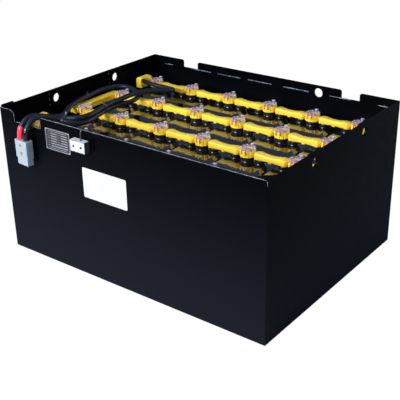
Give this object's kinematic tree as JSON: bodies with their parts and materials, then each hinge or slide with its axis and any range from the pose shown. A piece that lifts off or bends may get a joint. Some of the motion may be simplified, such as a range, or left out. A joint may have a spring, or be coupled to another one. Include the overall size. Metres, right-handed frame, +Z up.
{
  "type": "forklift traction battery",
  "caption": "Steel tray of lead-acid cells in series, with yellow strap covers, flip-top vents, cables to a grey connector and a level indicator.",
  "frame": {"origin": "centre of the tray's underside", "axes": "+Z up; +X to the right along the front wall, which has the name plate and the cable notch; +Y towards the rear wall"},
  "size_m": [0.982, 0.7783, 0.4912],
  "materials": {
    "tray_paint": "semi-gloss",
    "black_plastic": "satin",
    "lid_plastic": "gloss",
    "lead": "matte",
    "packer_plastic": "matte",
    "plated_copper": "satin",
    "zinc_steel": "satin",
    "yellow_plastic": "semi-gloss",
    "red_plastic": "gloss",
    "cable_rubber": "matte",
    "red_sleeve": "gloss",
    "black_sleeve": "gloss",
    "tie_plastic": "satin",
    "connector_grey": "satin",
    "silver_plate": "satin",
    "brass_bush": "satin",
    "plate_metal": "satin",
    "indicator_plastic": "satin",
    "lamp_plastic": "gloss",
    "wire_rubber": "satin",
    "clear_plastic": "gloss"
  },
  "bodies": {
    "battery": {"tray_floor": "tray_paint", "tray_front_wall": "tray_paint", "tray_rear_wall": "tray_paint", "tray_left_wall": "tray_paint", "tray_right_wall": "tray_paint", "rear_strips": "tray_paint", "lifting_doublers": "tray_paint", "corner_gusset": "tray_paint", "cell_jars": "black_plastic", "cell_lids": "lid_plastic", "plate_groups": "lead", "terminal_posts": "lead", "row_packers": "packer_plastic", "intercell_straps": "plated_copper", "row_end_straps": "plated_copper", "cable_lugs": "plated_copper", "strap_bolts": "zinc_steel", "strap_covers": "yellow_plastic", "end_strap_covers": "yellow_plastic", "lug_covers": "yellow_plastic", "vent_plugs": "yellow_plastic", "vent_floats": "red_plastic", "positive_cable": "cable_rubber", "negative_cable": "cable_rubber", "positive_sleeve": "red_sleeve", "negative_sleeve": "black_sleeve", "cable_ties": "tie_plastic", "connector_housing": "connector_grey", "connector_contacts": "silver_plate", "connector_bushes": "brass_bush", "name_plate": "plate_metal", "indicator_bracket": "tray_paint", "indicator_case": "indicator_plastic", "indicator_lamps": "lamp_plastic", "indicator_wire": "wire_rubber", "level_sensor": "black_plastic"},
    "vent_cap_r1_c1": {"vent_cap_r1_c1": "clear_plastic"},
    "vent_cap_r1_c2": {"vent_cap_r1_c2": "clear_plastic"},
    "vent_cap_r1_c3": {"vent_cap_r1_c3": "clear_plastic"},
    "vent_cap_r1_c4": {"vent_cap_r1_c4": "clear_plastic"},
    "vent_cap_r1_c5": {"vent_cap_r1_c5": "clear_plastic"},
    "vent_cap_r1_c6": {"vent_cap_r1_c6": "clear_plastic"},
    "vent_cap_r2_c1": {"vent_cap_r2_c1": "clear_plastic"},
    "vent_cap_r2_c2": {"vent_cap_r2_c2": "clear_plastic"},
    "vent_cap_r2_c3": {"vent_cap_r2_c3": "clear_plastic"},
    "vent_cap_r2_c4": {"vent_cap_r2_c4": "clear_plastic"},
    "vent_cap_r2_c5": {"vent_cap_r2_c5": "clear_plastic"},
    "vent_cap_r2_c6": {"vent_cap_r2_c6": "clear_plastic"},
    "vent_cap_r3_c1": {"vent_cap_r3_c1": "clear_plastic"},
    "vent_cap_r3_c2": {"vent_cap_r3_c2": "clear_plastic"},
    "vent_cap_r3_c3": {"vent_cap_r3_c3": "clear_plastic"},
    "vent_cap_r3_c4": {"vent_cap_r3_c4": "clear_plastic"},
    "vent_cap_r3_c5": {"vent_cap_r3_c5": "clear_plastic"},
    "vent_cap_r3_c6": {"vent_cap_r3_c6": "clear_plastic"},
    "vent_cap_r4_c1": {"vent_cap_r4_c1": "clear_plastic"},
    "vent_cap_r4_c2": {"vent_cap_r4_c2": "clear_plastic"},
    "vent_cap_r4_c3": {"vent_cap_r4_c3": "clear_plastic"},
    "vent_cap_r4_c4": {"vent_cap_r4_c4": "clear_plastic"},
    "vent_cap_r4_c5": {"vent_cap_r4_c5": "clear_plastic"},
    "vent_cap_r4_c6": {"vent_cap_r4_c6": "clear_plastic"}
  },
  "joints": [
    {"name": "vent_cap_r1_c1_hinge", "type": "hinge", "parent": "battery", "child": "vent_cap_r1_c1", "pos_m": [-0.40542, 0.24676, 0.4169], "axis": [1, 0, 0], "range_deg": [0, 105]},
    {"name": "vent_cap_r1_c2_hinge", "type": "hinge", "parent": "battery", "child": "vent_cap_r1_c2", "pos_m": [-0.24325, 0.24676, 0.4169], "axis": [1, 0, 0], "range_deg": [0, 105]},
    {"name": "vent_cap_r1_c3_hinge", "type": "hinge", "parent": "battery", "child": "vent_cap_r1_c3", "pos_m": [-0.08108, 0.24676, 0.4169], "axis": [1, 0, 0], "range_deg": [0, 105]},
    {"name": "vent_cap_r1_c4_hinge", "type": "hinge", "parent": "battery", "child": "vent_cap_r1_c4", "pos_m": [0.08108, 0.24676, 0.4169], "axis": [1, 0, 0], "range_deg": [0, 105]},
    {"name": "vent_cap_r1_c5_hinge", "type": "hinge", "parent": "battery", "child": "vent_cap_r1_c5", "pos_m": [0.24325, 0.24676, 0.4169], "axis": [1, 0, 0], "range_deg": [0, 105]},
    {"name": "vent_cap_r1_c6_hinge", "type": "hinge", "parent": "battery", "child": "vent_cap_r1_c6", "pos_m": [0.40542, 0.24676, 0.4169], "axis": [1, 0, 0], "range_deg": [0, 105]},
    {"name": "vent_cap_r2_c1_hinge", "type": "hinge", "parent": "battery", "child": "vent_cap_r2_c1", "pos_m": [-0.40542, 0.06439, 0.4169], "axis": [1, 0, 0], "range_deg": [0, 105]},
    {"name": "vent_cap_r2_c2_hinge", "type": "hinge", "parent": "battery", "child": "vent_cap_r2_c2", "pos_m": [-0.24325, 0.06439, 0.4169], "axis": [1, 0, 0], "range_deg": [0, 105]},
    {"name": "vent_cap_r2_c3_hinge", "type": "hinge", "parent": "battery", "child": "vent_cap_r2_c3", "pos_m": [-0.08108, 0.06439, 0.4169], "axis": [1, 0, 0], "range_deg": [0, 105]},
    {"name": "vent_cap_r2_c4_hinge", "type": "hinge", "parent": "battery", "child": "vent_cap_r2_c4", "pos_m": [0.08108, 0.06439, 0.4169], "axis": [1, 0, 0], "range_deg": [0, 105]},
    {"name": "vent_cap_r2_c5_hinge", "type": "hinge", "parent": "battery", "child": "vent_cap_r2_c5", "pos_m": [0.24325, 0.06439, 0.4169], "axis": [1, 0, 0], "range_deg": [0, 105]},
    {"name": "vent_cap_r2_c6_hinge", "type": "hinge", "parent": "battery", "child": "vent_cap_r2_c6", "pos_m": [0.40542, 0.06439, 0.4169], "axis": [1, 0, 0], "range_deg": [0, 105]},
    {"name": "vent_cap_r3_c1_hinge", "type": "hinge", "parent": "battery", "child": "vent_cap_r3_c1", "pos_m": [-0.40542, -0.11799, 0.4169], "axis": [1, 0, 0], "range_deg": [0, 105]},
    {"name": "vent_cap_r3_c2_hinge", "type": "hinge", "parent": "battery", "child": "vent_cap_r3_c2", "pos_m": [-0.24325, -0.11799, 0.4169], "axis": [1, 0, 0], "range_deg": [0, 105]},
    {"name": "vent_cap_r3_c3_hinge", "type": "hinge", "parent": "battery", "child": "vent_cap_r3_c3", "pos_m": [-0.08108, -0.11799, 0.4169], "axis": [1, 0, 0], "range_deg": [0, 105]},
    {"name": "vent_cap_r3_c4_hinge", "type": "hinge", "parent": "battery", "child": "vent_cap_r3_c4", "pos_m": [0.08108, -0.11799, 0.4169], "axis": [1, 0, 0], "range_deg": [0, 105]},
    {"name": "vent_cap_r3_c5_hinge", "type": "hinge", "parent": "battery", "child": "vent_cap_r3_c5", "pos_m": [0.24325, -0.11799, 0.4169], "axis": [1, 0, 0], "range_deg": [0, 105]},
    {"name": "vent_cap_r3_c6_hinge", "type": "hinge", "parent": "battery", "child": "vent_cap_r3_c6", "pos_m": [0.40542, -0.11799, 0.4169], "axis": [1, 0, 0], "range_deg": [0, 105]},
    {"name": "vent_cap_r4_c1_hinge", "type": "hinge", "parent": "battery", "child": "vent_cap_r4_c1", "pos_m": [-0.40542, -0.30036, 0.4169], "axis": [1, 0, 0], "range_deg": [0, 105]},
    {"name": "vent_cap_r4_c2_hinge", "type": "hinge", "parent": "battery", "child": "vent_cap_r4_c2", "pos_m": [-0.24325, -0.30036, 0.4169], "axis": [1, 0, 0], "range_deg": [0, 105]},
    {"name": "vent_cap_r4_c3_hinge", "type": "hinge", "parent": "battery", "child": "vent_cap_r4_c3", "pos_m": [-0.08108, -0.30036, 0.4169], "axis": [1, 0, 0], "range_deg": [0, 105]},
    {"name": "vent_cap_r4_c4_hinge", "type": "hinge", "parent": "battery", "child": "vent_cap_r4_c4", "pos_m": [0.08108, -0.30036, 0.4169], "axis": [1, 0, 0], "range_deg": [0, 105]},
    {"name": "vent_cap_r4_c5_hinge", "type": "hinge", "parent": "battery", "child": "vent_cap_r4_c5", "pos_m": [0.24325, -0.30036, 0.4169], "axis": [1, 0, 0], "range_deg": [0, 105]},
    {"name": "vent_cap_r4_c6_hinge", "type": "hinge", "parent": "battery", "child": "vent_cap_r4_c6", "pos_m": [0.40542, -0.30036, 0.4169], "axis": [1, 0, 0], "range_deg": [0, 105]}
  ]
}
